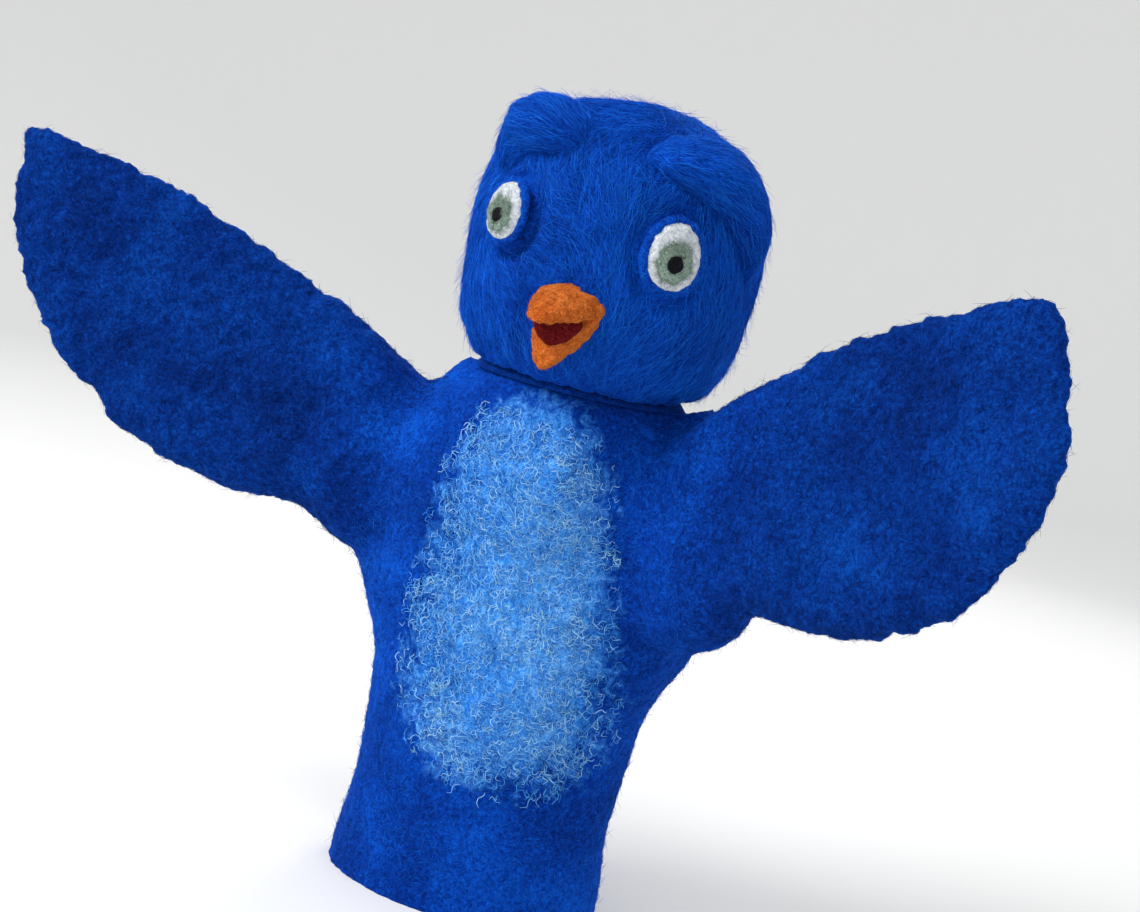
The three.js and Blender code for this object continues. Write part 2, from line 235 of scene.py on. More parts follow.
def bag_form(form, shrink, floor):
    rings = []
    for height, half, depth in BAG_RINGS:
        low = min(height, floor)
        ring = bmesh.ops.create_circle(form, segments=72, radius=1)["verts"]
        place = Matrix.Translation((0, 0, low if height < 0 else height))
        size = Matrix.Diagonal((half - shrink, depth - shrink, 1, 1))
        bmesh.ops.transform(form, matrix=place @ size, verts=ring)
        rings.append(list({edge for vert in ring for edge in vert.link_edges}))
    for lower, upper in zip(rings, rings[1:]):
        bmesh.ops.bridge_loops(form, edges=lower + upper)
    bmesh.ops.holes_fill(form, edges=rings[0] + rings[-1])
    bmesh.ops.recalc_face_normals(form, faces=form.faces)
    ellipsoid(form, [DOME - shrink] * 3, Matrix.Translation(NECK), 64)
    for side in SIDES:
        ellipsoid(form, [SHOULDER_BALL - shrink] * 3, Matrix.Translation(SHOULDER[side]), 64)


SOFT_REACH = (0.040, 0.085)  # how far from a shoulder the felt is stretched smooth
ROOT_WEB = ((0.036, 0, -0.020), (0.036, 0.0185, 0.034))
SMOOTHING = 26
form = bmesh.new()
bag_form(form, 0, -0.008)
for side in SIDES:
    wing_form(form, side)
    centre, radii = ROOT_WEB
    ellipsoid(form, radii, wing_place(side) @ Matrix.Translation(centre))
    centre, radii = NECK_RIDGE[side]
    ellipsoid(form, radii, Matrix.Translation(centre))
bmesh.ops.recalc_face_normals(form, faces=form.faces)
skin = refelted(finished("skin", form), 0.0024)
form = bmesh.new()
form.from_mesh(skin.data)
for turn in range(SMOOTHING):
    soft = []
    for vert in form.verts:
        near = min((vert.co - SHOULDER[side] - Vector((side * 0.03, 0, -0.03))).length for side in SIDES)
        if near < SOFT_REACH[1] * (1 - turn / SMOOTHING * 0.55):
            soft.append(vert)
    bmesh.ops.smooth_vert(form, verts=soft, factor=0.5, use_axis_x=True, use_axis_y=True, use_axis_z=True)
form.to_mesh(skin.data)
form.free()
skin = refelted(skin, 0.0013)


def felted(point, normal, wing):
    """How far the felt stands out at a place: fine nubs, small lumps and slow waves of the hand."""
    nubs = (0.22 - abs(noise.noise(point * 165))) * (0.0011 + 0.0009 * wing)
    pills = noise.noise(point * 420) * (0.00045 + 0.0003 * wing)
    waves = noise.noise(point * 42) * (0.0012 + 0.0006 * wing)
    return nubs + pills + waves


form = bmesh.new()
form.from_mesh(skin.data)
form.normal_update()
moves = []
for vert in form.verts:
    wing = eased(abs(vert.co.x), 0.055, 0.10)
    moves.append(vert.co + vert.normal * felted(vert.co, vert.normal, wing))
for vert, goal in zip(form.verts, moves):
    arm = goal - NECK
    steep = math.degrees(arm.angle(Vector((0, 0, 1))))
    loose = min(0.999, eased(steep, 50.5, 56))
    limit = DOME + 0.0004 + 0.0022 * eased(steep, 45, 50) + 0.012 * loose / (1 - loose)
    if arm.length > limit:
        goal = NECK + arm.normalized() * limit
    vert.co = goal
form.to_mesh(skin.data)
form.free()

NECK_HOLE = DOME * math.sin(math.radians(28))
POCKET = ((0.058, 0, -0.016), (0.036, 0.0075, 0.012))
form = bmesh.new()
bag_form(form, FELT, -0.020)
for side in SIDES:
    centre, radii = POCKET
    ellipsoid(form, radii, wing_place(side) @ Matrix.Translation(centre), 32)
bmesh.ops.recalc_face_normals(form, faces=form.faces)
hollow = refelted(finished("hollow", form), 0.0026)
form = bmesh.new()
bmesh.ops.create_cone(form, cap_ends=True, segments=64, radius1=NECK_HOLE, radius2=NECK_HOLE, depth=0.04,
                      matrix=Matrix.Translation((0, 0, NECK.z + DOME)))
neck_plug = finished("neck_plug", form)
form = bmesh.new()
bmesh.ops.create_cube(form, size=1, matrix=Matrix.Translation((0, 0, -0.5)))
under_cuff = finished("under_cuff", form)
body_felt = finished("body_felt", bmesh.new())
body_felt.data = skin.data.copy()
for tool in (hollow, neck_plug, under_cuff):
    cut(body_felt, "DIFFERENCE", tool)


def beyond(place, direction):
    """A block that fills everything past a plane."""
    form = bmesh.new()
    turned = Vector(direction).to_track_quat("Z", "Y").to_matrix().to_4x4()
    raised = Matrix.Translation((0, 0, 0.5))
    bmesh.ops.create_cube(form, size=1, matrix=Matrix.Translation(place) @ turned @ raised)
    return finished("beyond", form)


def felt(name, deep, middle, light, grain=1.0, hairy=0.5):
    """Felted wool: three close tones of one colour in clouds and tangled hairs, matt, with a soft sheen."""
    material = bpy.data.materials.new(name)
    material.use_nodes = True
    nodes, links = material.node_tree.nodes, material.node_tree.links
    shader = nodes["Principled BSDF"]
    shader.inputs["Roughness"].default_value = 0.95
    shader.inputs["Specular IOR Level"].default_value = 0.05
    shader.inputs["Sheen Weight"].default_value = 0.35
    shader.inputs["Sheen Roughness"].default_value = 0.45
    shader.inputs["Sheen Tint"].default_value = (*[min(1, 2.2 * c) for c in light], 1)
    place = nodes.new("ShaderNodeTexCoord").outputs["Object"]
    tones = []
    for scale, detail, twist in ((34, 3, 0.4), (330 * grain, 4, 2.6), (900 * grain, 2, 1.0)):
        tone = nodes.new("ShaderNodeTexNoise")
        tone.inputs["Scale"].default_value = scale
        tone.inputs["Detail"].default_value = detail
        tone.inputs["Distortion"].default_value = twist
        links.new(place, tone.inputs["Vector"])
        tones.append(tone.outputs["Fac"])
    cloud, tangle, hair = tones
    mixed = nodes.new("ShaderNodeMix")
    mixed.inputs["Factor"].default_value = 0.55
    links.new(cloud, mixed.inputs["A"])
    links.new(tangle, mixed.inputs["B"])
    fine = nodes.new("ShaderNodeMix")
    fine.inputs["Factor"].default_value = 0.3
    links.new(mixed.outputs["Result"], fine.inputs["A"])
    links.new(hair, fine.inputs["B"])
    ramp = nodes.new("ShaderNodeValToRGB")
    ramp.color_ramp.elements[0].position = 0.39
    ramp.color_ramp.elements[0].color = (*deep, 1)
    ramp.color_ramp.elements[1].position = 0.63
    ramp.color_ramp.elements[1].color = (*light, 1)
    ramp.color_ramp.elements.new(0.5).color = (*middle, 1)
    links.new(fine.outputs["Result"], ramp.inputs["Fac"])
    links.new(ramp.outputs["Color"], shader.inputs["Base Color"])
    bump = nodes.new("ShaderNodeBump")
    bump.inputs["Strength"].default_value = hairy
    bump.inputs["Distance"].default_value = 0.0011
    links.new(fine.outputs["Result"], bump.inputs["Height"])
    links.new(bump.outputs["Normal"], shader.inputs["Normal"])
    return material


def hairs(name, deep, middle, light):
    """Loose wool fibres: each hair has its own shade between the three."""
    material = bpy.data.materials.new(name)
    material.use_nodes = True
    nodes, links = material.node_tree.nodes, material.node_tree.links
    shader = nodes["Principled BSDF"]
    shader.inputs["Roughness"].default_value = 0.75
    shader.inputs["Specular IOR Level"].default_value = 0.10
    shader.inputs["Sheen Weight"].default_value = 0.2
    shader.inputs["Sheen Tint"].default_value = (*light, 1)
    geometry = nodes.new("ShaderNodeNewGeometry")
    cloud = nodes.new("ShaderNodeTexNoise")
    cloud.inputs["Scale"].default_value = 30
    links.new(nodes.new("ShaderNodeTexCoord").outputs["Object"], cloud.inputs["Vector"])
    shade = nodes.new("ShaderNodeMix")
    shade.inputs["Factor"].default_value = 0.4
    links.new(geometry.outputs["Random Per Island"], shade.inputs["A"])
    links.new(cloud.outputs["Fac"], shade.inputs["B"])
    ramp = nodes.new("ShaderNodeValToRGB")
    ramp.color_ramp.elements[0].position = 0.15
    ramp.color_ramp.elements[0].color = (*deep, 1)
    ramp.color_ramp.elements[1].position = 0.85
    ramp.color_ramp.elements[1].color = (*light, 1)
    ramp.color_ramp.elements.new(0.5).color = (*middle, 1)
    links.new(shade.outputs["Result"], ramp.inputs["Fac"])
    links.new(ramp.outputs["Color"], shader.inputs["Base Color"])
    return material


def spread(mesh, count, seed, wanted=lambda point, normal: True):
    """Random places on a mesh, evenly by area, each with the way its face looks."""
    chance = random.Random(seed)
    mesh.calc_loop_triangles()
    triangles = mesh.loop_triangles
    weights = [triangle.area for triangle in triangles]
    spots = []
    for triangle in chance.choices(triangles, weights=weights, k=count):
        a, b, c = (mesh.vertices[index].co for index in triangle.vertices)
        u, v = chance.random(), chance.random()
        if u + v > 1:
            u, v = 1 - u, 1 - v
        spot = a + (b - a) * u + (c - a) * v
        if wanted(spot, triangle.normal):
            spots.append((spot, triangle.normal.copy()))
    return spots


def strand(ground, root, way, chance, length, rise, curl=0.5, steps=2):
    """A fibre that starts in the felt and lies along it, turning as it goes and lifting towards its tip."""
    points = [root]
    for step in range(1, steps + 1):
        near, out, _, _ = ground.find_nearest(points[-1] + way * length / steps)
        points.append(near + out * rise * step / steps)
        way = Matrix.Rotation(chance.gauss(0, curl), 3, out) @ way
        way = (way - out * way.dot(out)).normalized()
    return points


def any_way(normal, chance):
    return (Matrix.Rotation(chance.random() * math.tau, 3, normal) @ normal.orthogonal()).normalized()


def wool(name, strands, thick, finish, tip=0.35):
    """Makes a piece of many fibres, each three-sided and thinner towards its tip."""
    section = bpy.data.curves.new("section", "CURVE")
    corner = section.splines.new("POLY")
    corner.points.add(2)
    corner.use_cyclic_u = True
    for k, point in enumerate(corner.points):
        turn = -math.tau * k / 3
        point.co = (thick / 2 * math.cos(turn), thick / 2 * math.sin(turn), 0, 1)
    section_object = bpy.data.objects.new("section", section)
    line = bpy.data.curves.new(name, "CURVE")
    line.dimensions = "3D"
    line.bevel_mode = "OBJECT"
    line.bevel_object = section_object
    line.use_fill_caps = True
    for points in strands:
        spline = line.splines.new("POLY")
        last = len(points) - 1
        spline.points.add(last)
        for k, spot in enumerate(points):
            spline.points[k].co = (*spot, 1)
            spline.points[k].radius = 1 - (1 - tip) * (k / last) ** 2
    drawn = bpy.data.objects.new(name, line)
    bpy.context.scene.collection.objects.link(drawn)
    mesh = bpy.data.meshes.new_from_object(drawn.evaluated_get(bpy.context.evaluated_depsgraph_get()))
    for unused in (drawn, section_object):
        bpy.data.objects.remove(unused)
    form = bmesh.new()
    form.from_mesh(mesh)
    bmesh.ops.remove_doubles(form, verts=form.verts, dist=1e-7)
    piece = finished(name, form)
    piece.data.materials.append(finish)
    return piece


# tones of the blue wool, from the folds to the hairs that catch the light
BLUE = ((0.0004, 0.013, 0.13), (0.0008, 0.034, 0.29), (0.0025, 0.085, 0.54))
LIT_BLUE = ((0.0004, 0.020, 0.20), (0.0010, 0.060, 0.44), (0.0070, 0.190, 0.84))
HEAD_BLUE = ((0.0004, 0.032, 0.29), (0.0012, 0.095, 0.64), (0.0100, 0.240, 0.98))
# painted shade: a darker copy of the blue wool, for the hairs on the wings turned away from the light and for
# the neck band in the crease under the head
PAINTED_SHADE_BLUE = ((0.0003, 0.009, 0.09), (0.0006, 0.024, 0.19), (0.0015, 0.060, 0.35))
PALE = ((0.012, 0.130, 0.58), (0.045, 0.300, 0.84), (0.250, 0.640, 1.0))
blue_felt = felt("blue_wool_felt", *BLUE)
blue_hair = hairs("blue_wool_hair", *LIT_BLUE)
# painted shade: the hairs on the wings take the darker, shaded copy of the blue
wing_shaded_hair = hairs("wing_wool_painted_shade", *PAINTED_SHADE_BLUE)
head_hair = hairs("head_wool_hair", *HEAD_BLUE)
WHITE_LOCKS = ((0.012, 0.190, 0.74), (0.080, 0.430, 0.96), (0.520, 0.860, 1.0))

# BREAST. An upright oval of pale curly wool, felted into the bag and thin at its edges, where the blue
# shows through. Its tone fades into the felt, and its locks are laid over it.
BREAST_LOW, BREAST_HIGH = 0.049, 0.187
BREAST_TALL = (BREAST_HIGH - BREAST_LOW) / 2
BREAST_MIDDLE = (BREAST_HIGH + BREAST_LOW) / 2
BREAST_HALF = 0.0345
BREAST_LEAN = -0.070  # how far its middle line shifts to the side as it rises


def breast_reach(point):
    """0 in the middle of the breast, 1 at its edge, more outside it."""
    up = (point.z - BREAST_MIDDLE) / BREAST_TALL
    side = (point.x - 0.0035 - BREAST_LEAN * (point.z - BREAST_MIDDLE)) / (BREAST_HALF * (1 - 0.22 * up))
    return 9.0 if point.y > -0.012 else math.sqrt(side ** 2 + up ** 4)


def breast_mask(nodes, links):
    """The same reach in nodes, roughened, as a factor that is 1 on the breast."""
    def sum_of(kind, a, b, clamp=False):
        node = nodes.new("ShaderNodeMath")
        node.operation = kind
        node.use_clamp = clamp
        for socket, value in zip(node.inputs, (a, b)):
            if isinstance(value, (int, float)):
                socket.default_value = value
            else:
                links.new(value, socket)
        return node.outputs[0]

    split = nodes.new("ShaderNodeSeparateXYZ")
    place = nodes.new("ShaderNodeTexCoord").outputs["Object"]
    links.new(place, split.inputs[0])
    high = sum_of("SUBTRACT", split.outputs["Z"], BREAST_MIDDLE)
    up = sum_of("DIVIDE", high, BREAST_TALL)
    middle = sum_of("ADD", sum_of("MULTIPLY", high, BREAST_LEAN), 0.0035)
    wide = sum_of("MULTIPLY", sum_of("SUBTRACT", 1, sum_of("MULTIPLY", up, 0.22)), BREAST_HALF)
    side = sum_of("DIVIDE", sum_of("SUBTRACT", split.outputs["X"], middle), wide)
    reach = sum_of("ADD", sum_of("MULTIPLY", side, side), sum_of("POWER", sum_of("ABSOLUTE", up, 0), 4))
    ragged = nodes.new("ShaderNodeTexNoise")
    ragged.inputs["Scale"].default_value = 150
    ragged.inputs["Detail"].default_value = 6
    ragged.inputs["Distortion"].default_value = 1.2
    links.new(place, ragged.inputs["Vector"])
    rough = sum_of("MULTIPLY", sum_of("SUBTRACT", ragged.outputs["Fac"], 0.5), 2.2)
    inside = sum_of("SUBTRACT", 1.16, sum_of("ADD", reach, rough))
    fade = sum_of("MULTIPLY", inside, 0.95, clamp=True)
    front = sum_of("MULTIPLY", sum_of("SUBTRACT", -0.008, split.outputs["Y"]), 120, clamp=True)
    return sum_of("MULTIPLY", fade, front)


bag_felt_wool = felt("bag_wool_felt", *BLUE)
nodes, links = bag_felt_wool.node_tree.nodes, bag_felt_wool.node_tree.links
shader = nodes["Principled BSDF"]
blue_tone = next(node for node in nodes if node.type == "VALTORGB")
pale_tone = nodes.new("ShaderNodeValToRGB")
pale_tone.color_ramp.elements[0].position = 0.36
pale_tone.color_ramp.elements[0].color = (*PALE[0], 1)
pale_tone.color_ramp.elements[1].position = 0.64
pale_tone.color_ramp.elements[1].color = (*PALE[2], 1)
pale_tone.color_ramp.elements.new(0.5).color = (*PALE[1], 1)
links.new(blue_tone.inputs["Fac"].links[0].from_socket, pale_tone.inputs["Fac"])
both = nodes.new("ShaderNodeMix")
both.data_type = "RGBA"
links.new(breast_mask(nodes, links), both.inputs["Factor"])
links.new(blue_tone.outputs["Color"], both.inputs["A"])
links.new(pale_tone.outputs["Color"], both.inputs["B"])
# painted shade on the wings: past the shoulders their colour is multiplied darker, setting in gradually, for
# the wings turned away from the light
side_place = nodes.new("ShaderNodeSeparateXYZ")
links.new(nodes.new("ShaderNodeTexCoord").outputs["Object"], side_place.inputs[0])
outward = nodes.new("ShaderNodeMath")
outward.operation = "ABSOLUTE"
links.new(side_place.outputs["X"], outward.inputs[0])
wing_shade_share = nodes.new("ShaderNodeMapRange")
wing_shade_share.inputs["From Min"].default_value = 0.042
wing_shade_share.inputs["From Max"].default_value = 0.095
links.new(outward.outputs[0], wing_shade_share.inputs["Value"])
# painted shade: multiplies the wing colour darker
wing_shade_multiply = nodes.new("ShaderNodeMix")
wing_shade_multiply.data_type = "RGBA"
wing_shade_multiply.blend_type = "MULTIPLY"
wing_shade_multiply.inputs["B"].default_value = (0.62, 0.66, 0.64, 1)
links.new(wing_shade_share.outputs["Result"], wing_shade_multiply.inputs["Factor"])
links.new(both.outputs["Result"], wing_shade_multiply.inputs["A"])
links.new(wing_shade_multiply.outputs["Result"], shader.inputs["Base Color"])

# The felt is cut into five pieces where it bends: the bag, a band at each shoulder where the wing swings, and
# the wings, which flap from there. Only the bag is hung on a moving body here; the shoulder and wing pieces
# stay where they rest.
SWING_AT = 0.043
SWING_WIDE = 0.013
FOLD = {side: Vector((side * 0.95, 0, 0.31)).normalized() for side in SIDES}
swing_start = {side: Vector((side * SWING_AT, 0, SHOULDER[side].z)) for side in SIDES}
swing_end = {side: swing_start[side] + FOLD[side] * SWING_WIDE for side in SIDES}


def felt_zone(point):
    """Which of the five pieces a place on the felt belongs to."""
    for side, name in SIDES.items():
        if (point - swing_end[side]).dot(FOLD[side]) > 0:
            return f"{name}_wing"
        if (point - swing_start[side]).dot(FOLD[side]) > 0:
            return f"{name}_shoulder"
    return "bag"


def hang(piece, zone):
    """Attaches a piece of the bag to the torso; a piece of a shoulder or a wing only has its placing baked
    into its mesh.
    """
    if zone == "bag":
        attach(piece, "torso")
        return
    name, part = zone.split("_")
    if part == "shoulder":
        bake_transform(piece)
    else:
        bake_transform(piece)


ZONES = {
    "bag": [("DIFFERENCE", 1, swing_start), ("DIFFERENCE", -1, swing_start)],
    "left_shoulder": [("INTERSECT", 1, swing_start), ("DIFFERENCE", 1, swing_end)],
    "right_shoulder": [("INTERSECT", -1, swing_start), ("DIFFERENCE", -1, swing_end)],
    "left_wing": [("INTERSECT", 1, swing_end)],
    "right_wing": [("INTERSECT", -1, swing_end)],
}
STANDS_FOR = {"bag": "body_bag", "left_shoulder": "left_shoulder_gusset", "left_wing": "left_wing",
              "right_shoulder": "right_shoulder_gusset", "right_wing": "right_wing"}
for zone, cuts in ZONES.items():
    piece = bpy.data.objects.new(f"{zone}_felt", body_felt.data.copy())
    bpy.context.scene.collection.objects.link(piece)
    for operation, side, start in cuts:
        block = beyond(start[side], FOLD[side])
        cut(piece, operation, block)
        bpy.data.objects.remove(block)
    piece.data.materials.clear()
    piece.data.materials.append(bag_felt_wool)
    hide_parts(STANDS_FOR[zone])
    hang(piece, zone)
for unused in (body_felt, hollow, neck_plug, under_cuff):
    bpy.data.objects.remove(unused)

# BODY HAIR. The wool is only half felted down: short hairs lie over the whole skin in every direction
# and a few stand off it, so no edge is clean.
BODY_HAIRS = 42000
NECK_CLEAR = 61  # degrees from straight up round the neck that no hair may reach
chance = random.Random(7)
ground = BVHTree.FromObject(skin, bpy.context.evaluated_depsgraph_get())
tufts = {zone: [] for zone in ZONES}


def clear_of_neck(point):
    arm = point - NECK
    return arm.length > 0.060 or math.degrees(arm.angle(Vector((0, 0, 1)))) > NECK_CLEAR


def on_skin(point, normal):
    clear = point.z > 0.003 and clear_of_neck(point)
    return clear and (breast_reach(point) > 0.85 or chance.random() < 0.3)


for root, out in spread(skin.data, BODY_HAIRS, 11, on_skin):
    stray = chance.random() < 0.08
    rise = chance.uniform(0.0015, 0.0030) if stray else chance.uniform(0.0002, 0.0009)
    points = strand(ground, root, any_way(out, chance), chance, chance.uniform(0.003, 0.006), rise)
    if all(point.z > 0.0005 and clear_of_neck(point) for point in points):
        tufts[felt_zone(root)].append(points)
for zone, strands in tufts.items():
    # the wing hairs carry painted shade, darker than the hairs on the bag
    piece = wool(f"{zone}_hair", strands, 0.00013, wing_shaded_hair if "wing" in zone else blue_hair)
    hang(piece, zone)


# HEAD. A ball of loose wool stuffed hard, in a skin of blue wool that is combed down from the crown and
# only needled in round the eyes. Under it is a hollow that rolls on the neck.
head_low, head_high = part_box("head_skin")
HEAD_R, HEAD_UP, HEAD_DOWN = 0.054, 0.054, 0.058
CROWN_POWER, CHIN_POWER = 2.3, 3
HEAD_MIDDLE = (head_low + head_high) / 2
HEAD_MIDDLE.z = head_high.z - HEAD_UP
HEAD_SKIN = 0.006


def head_spot(turn, lift, out=0.0):
    """The place on the head a number of degrees round from the beak and up from the middle."""
    turn, lift = math.radians(turn), math.radians(lift)
    power = CHIN_POWER if lift < 0 else CROWN_POWER
    wide = max(0, math.cos(lift)) ** (2 / power) * (HEAD_R + out)
    tall = (HEAD_DOWN if lift < 0 else HEAD_UP) + out
    high = math.copysign(abs(math.sin(lift)) ** (2 / power) * tall, lift)
    return HEAD_MIDDLE + Vector((wide * math.sin(turn), -wide * math.cos(turn), high))


def head_place(turn, lift, out=0.0):
    """A frame on the head's surface: its -Y looks straight out, its Z up."""
    looking = Matrix.Rotation(math.radians(turn), 4, "Z") @ Matrix.Rotation(math.radians(-lift), 4, "X")
    return Matrix.Translation(head_spot(turn, lift)) @ looking @ Matrix.Translation((0, -out, 0))


def head_form(grow, segments=96):
    form = bmesh.new()
    bmesh.ops.create_uvsphere(form, u_segments=segments, v_segments=segments // 2, radius=1)
    for vert in form.verts:
        turn = math.degrees(math.atan2(vert.co.x, -vert.co.y))
        vert.co = head_spot(turn, math.degrees(math.asin(max(-1, min(1, vert.co.z)))), grow)
    bmesh.ops.recalc_face_normals(form, faces=form.faces)
    return form


def stuffed(piece, grain, cap, pressure=4):
    """Blows a closed form up from inside like a stuffed skin, and holds each point within the cap."""
    refelted(piece, grain)
    before = [vert.co.copy() for vert in piece.data.vertices]
    cloth = piece.modifiers.new("stuffing", "CLOTH")
    cloth.settings.quality = 5
    cloth.settings.use_pressure = True
    cloth.settings.uniform_pressure_force = pressure
    cloth.settings.effector_weights.gravity = 0
    cloth.point_cache.frame_start, cloth.point_cache.frame_end = 1, 20
    for frame_number in range(1, 21):
        bpy.context.scene.frame_set(frame_number)
    applied(piece)
    for vert, start in zip(piece.data.vertices, before):
        move = vert.co - start
        if move.length > cap:
            vert.co = start + move.normalized() * cap
    bpy.context.scene.frame_set(1)
    return piece


EYE_TURN = {1: 35, -1: -31}
EYE_LIFT = {1: 1, -1: 2.5}
EYE_SIZE = {1: 1, -1: 0.87}
EYE_HALF = Vector((0.0096, 0.0034, 0.0115))  # across, out and up
EYE_RIM = 0.0016
MOUTH_LIFT = -15.5
BEAK_TURN = -16  # it points a little to the bird's right
STUFFING_SWELL = 0.0006
HEAD_TUCK = 0.002  # the wool laid over the skin makes up the rest
head_felt = finished("head_felt", head_form(-HEAD_TUCK - STUFFING_SWELL))
stuffed(head_felt, 0.005, STUFFING_SWELL + 0.001)
refelted(head_felt, 0.0013)
eyes = {}
for side in SIDES:
    eyes[side] = head_place(EYE_TURN[side], EYE_LIFT[side]) @ Matrix.Scale(EYE_SIZE[side], 4)
mouth = head_place(0, MOUTH_LIFT)
form = bmesh.new()
form.from_mesh(head_felt.data)
form.normal_update()
moves = []
for vert in form.verts:
    spot, out = vert.co, vert.normal
    locks = noise.noise(Vector((spot.x * 230, spot.y * 230, spot.z * 38)))
    fine = noise.noise(Vector((spot.x * 620, spot.y * 620, spot.z * 110)))
    lumps = noise.noise(spot * 55)
    height = locks * 0.0011 + fine * 0.0005 + lumps * 0.0016
    for eye in eyes.values():
        near = eye.inverted() @ spot
        ring = math.hypot(near.x / EYE_HALF.x, near.z / EYE_HALF.z)
        if near.length < 0.03:
            height -= 0.0020 * math.exp(-((ring - 1.42) / 0.20) ** 2)
    moves.append(spot + out * height)
for vert, goal in zip(form.verts, moves):
    vert.co = goal
form.to_mesh(head_felt.data)
form.free()
head_ground = BVHTree.FromObject(head_felt, bpy.context.evaluated_depsgraph_get())
head_skin_mesh = head_felt.data.copy()
seat_form = bmesh.new()
ellipsoid(seat_form, [SEAT + 0.0003] * 3, Matrix.Translation(NECK), 96)
seat_ball = finished("seat_ball", seat_form)
head_inside = finished("head_inside", head_form(-HEAD_SKIN - HEAD_TUCK))
cut(head_felt, "DIFFERENCE", head_inside)
cut(head_felt, "DIFFERENCE", seat_ball)
head_felt.data.materials.clear()
head_felt.data.materials.append(blue_felt)
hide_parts("head_skin")
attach(head_felt, "head")

# The wool on the head: long hairs combed down from the crown, in layers, with a few that fly off.
HEAD_LAYERS = (  # name, hairs, length, thickness, lift of the tip, sideways wander
    ("head_under_wool", 11500, 0.011, 0.00017, 0.0006, 0.26),
    ("head_over_wool", 10500, 0.011, 0.00014, 0.0012, 0.42),
    ("head_loose_wool", 3400, 0.009, 0.00010, 0.0036, 0.90),
)


def clear_of_face(point):
    """True away from the eyes, the beak and the hollow under the head."""
    for eye in eyes.values():
        near = eye.inverted() @ point
        if near.length < 0.03 and math.hypot(near.x / EYE_HALF.x, near.z / EYE_HALF.z) < 1.22:
            return False
    near = mouth.inverted() @ point
    if abs(near.x) < 0.0125 and -0.008 < near.z < 0.006 and abs(near.y) < 0.02:
        return False
    return (point - NECK).length > SEAT + 0.0022


def combed(point, normal, chance, wander):
    """The way the wool is combed: down the head, swirling a little, and aside from the eyes."""
    way = Vector((0, 0, -1))
    for eye in eyes.values():
        away = point - eye.translation
        if away.length < 0.030:
            way += away.normalized() * (0.030 - away.length) * 30
    swirl = noise.noise(point * 26) * 1.5 + chance.gauss(0, wander)
    way = Matrix.Rotation(swirl, 3, normal) @ (way - normal * way.dot(normal))
    return way.normalized() if way.length > 1e-4 else any_way(normal, chance)


for name, count, length, thick, rise, wander in HEAD_LAYERS:
    chance = random.Random(count)
    strands = []
    for root, out in spread(head_skin_mesh, count, count + 1, lambda spot, normal: clear_of_face(spot)):
        points = strand(head_ground, root, combed(root, out, chance, wander), chance,
                        length * chance.uniform(0.6, 1.2), rise * chance.uniform(0.2, 1.2), 0.12, 3)
        if all(clear_of_face(point) for point in points[1:]):
            strands.append(points)
    piece = wool(name, strands, thick, head_hair)
    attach(piece, "head")

